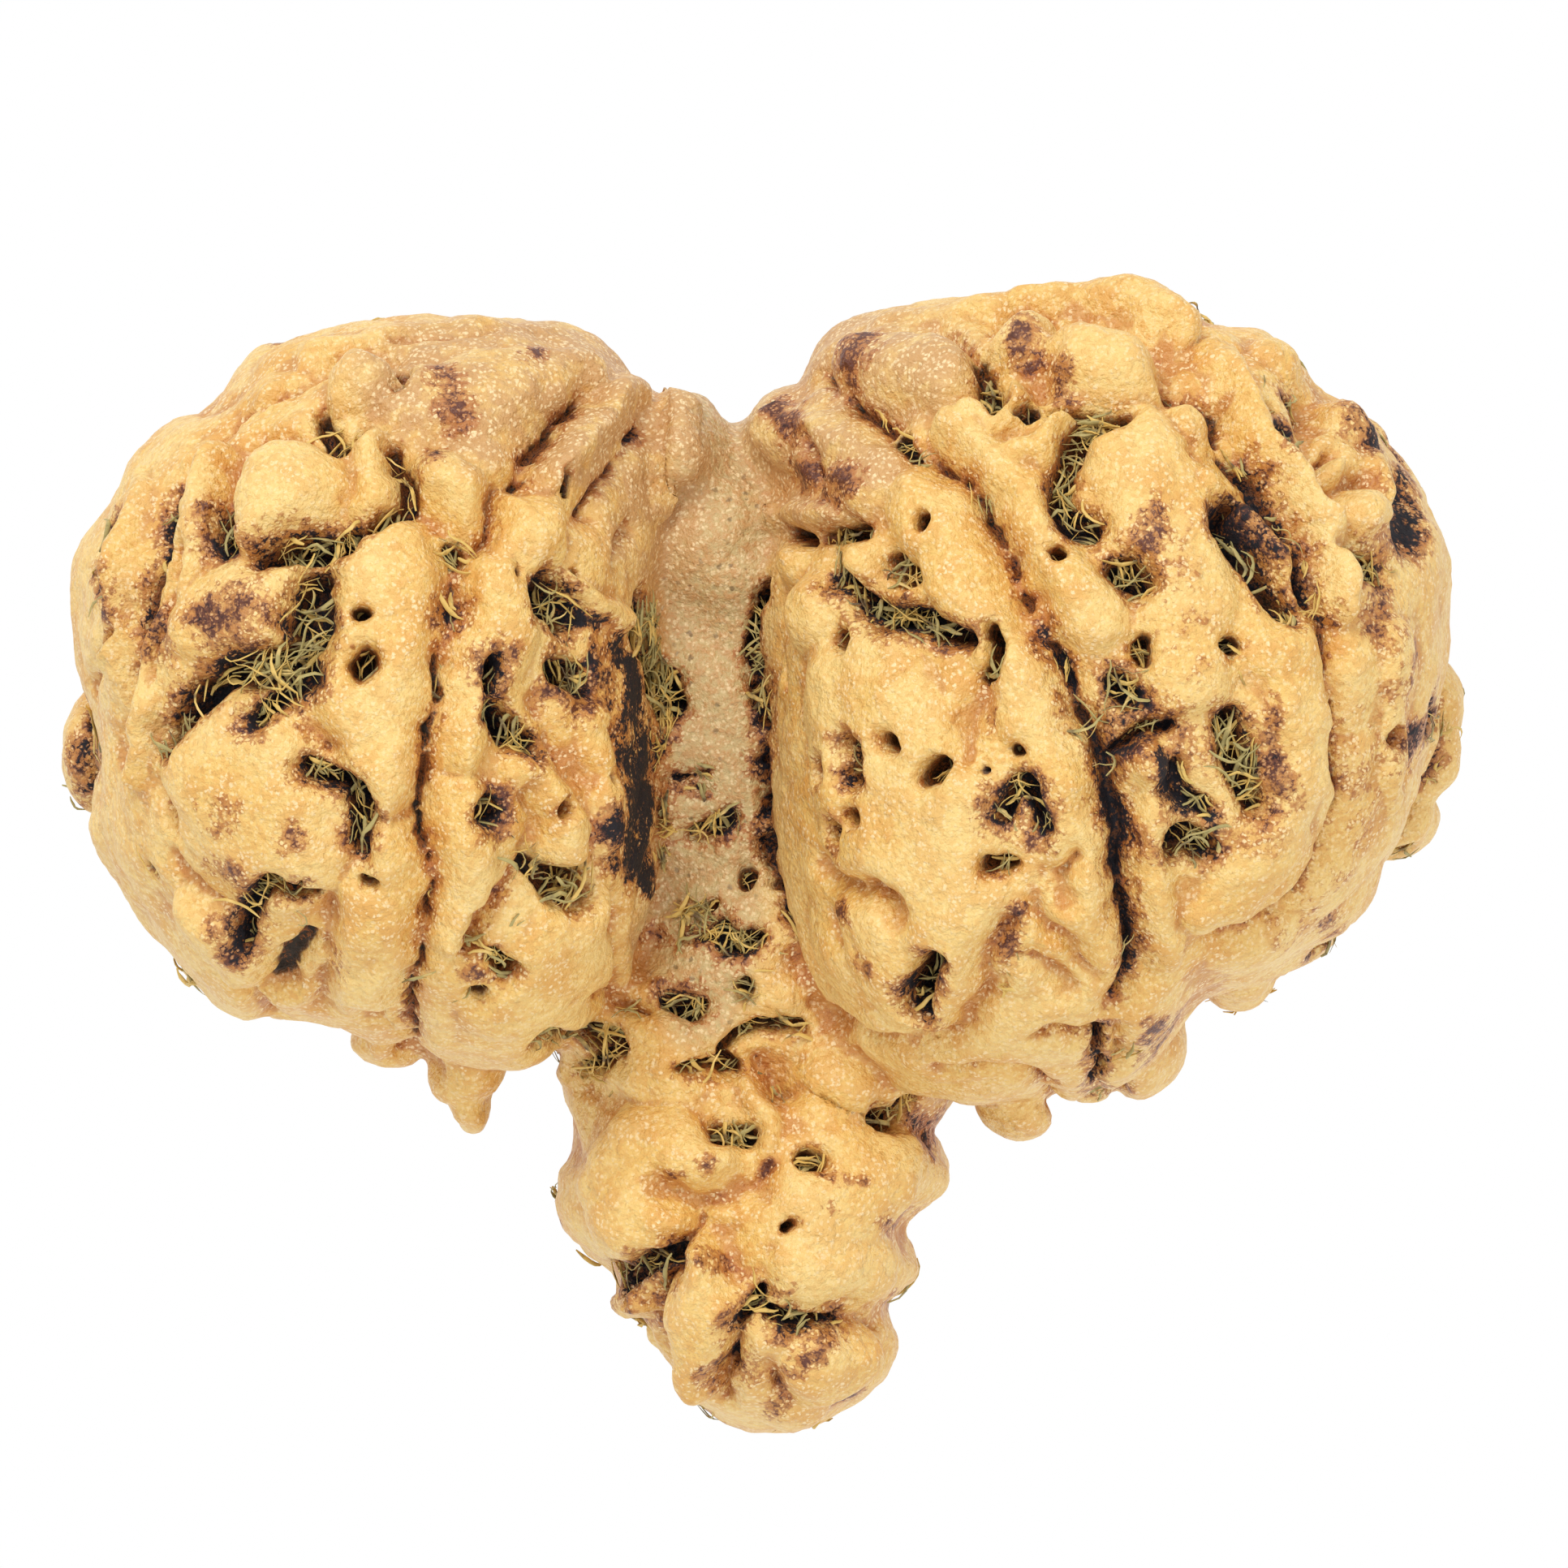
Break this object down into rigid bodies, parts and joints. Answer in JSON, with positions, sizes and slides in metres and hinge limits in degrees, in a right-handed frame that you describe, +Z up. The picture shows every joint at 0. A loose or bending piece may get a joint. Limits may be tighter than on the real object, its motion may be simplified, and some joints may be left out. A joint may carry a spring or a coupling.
{
  "type": "rudraksha bead",
  "caption": "Joined rudraksha bead: a fused pair of seed stones with deep furrows, pits and knobs and a tail at the seam, strung or held for prayer or kept as a talisman.",
  "frame": {"origin": "middle of the bounding box on the ground plane, under the bead as it lies", "axes": "+X from the left stone to the right one, +Y from the tail to the notch between the stones, +Z up from the surface that it lies on"},
  "size_m": [0.042, 0.0346, 0.023],
  "materials": {
    "bead_stone": "satin"
  },
  "bodies": {
    "root": {"bead": "bead_stone"}
  },
  "joints": []
}
